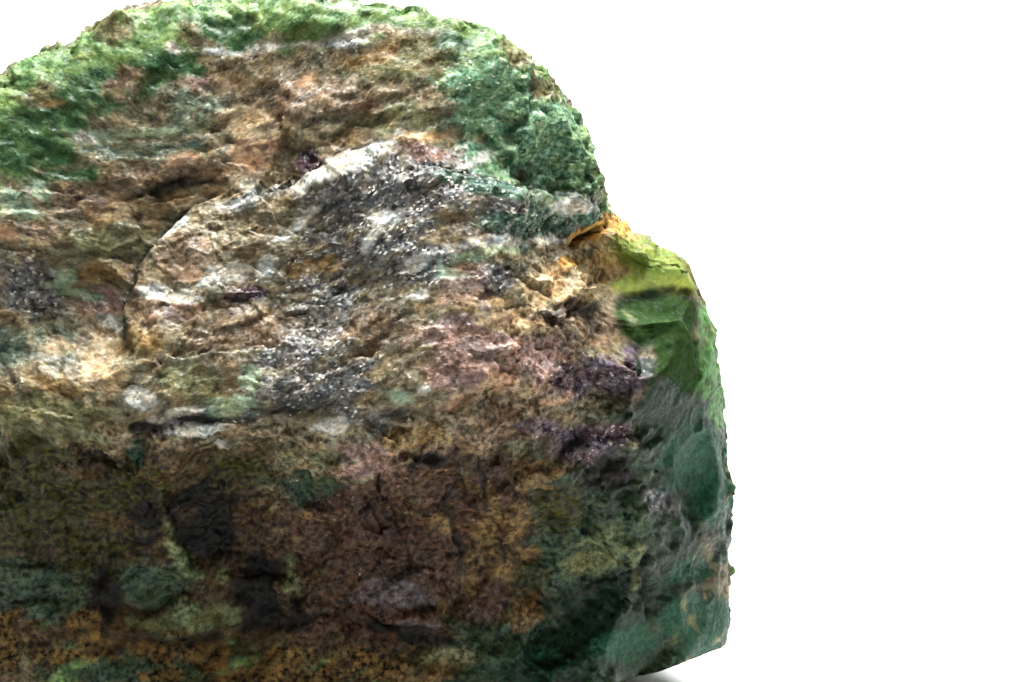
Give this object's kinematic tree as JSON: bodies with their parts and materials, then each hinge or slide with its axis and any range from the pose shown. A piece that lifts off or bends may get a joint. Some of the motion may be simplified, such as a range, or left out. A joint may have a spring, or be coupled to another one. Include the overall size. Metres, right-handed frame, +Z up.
{
  "type": "rough aventurine stone",
  "caption": "Rough broken lump of green aventurine, a mica-rich quartz, with a broad face that slopes back over a steep lower wall and a flat break to rest on.",
  "frame": {"origin": "middle of the stone's plan box, at the level it rests on", "axes": "+X to the right across the broad broken face, which looks towards -Y, and +Z up"},
  "size_m": [0.0488, 0.03, 0.0391],
  "materials": {
    "green_quartz": "rough broken quartz, slightly see-through at thin edges, glassy where fresh, full of bright mica flakes"
  },
  "bodies": {
    "root": {"aventurine_stone": "green_quartz"}
  },
  "joints": []
}
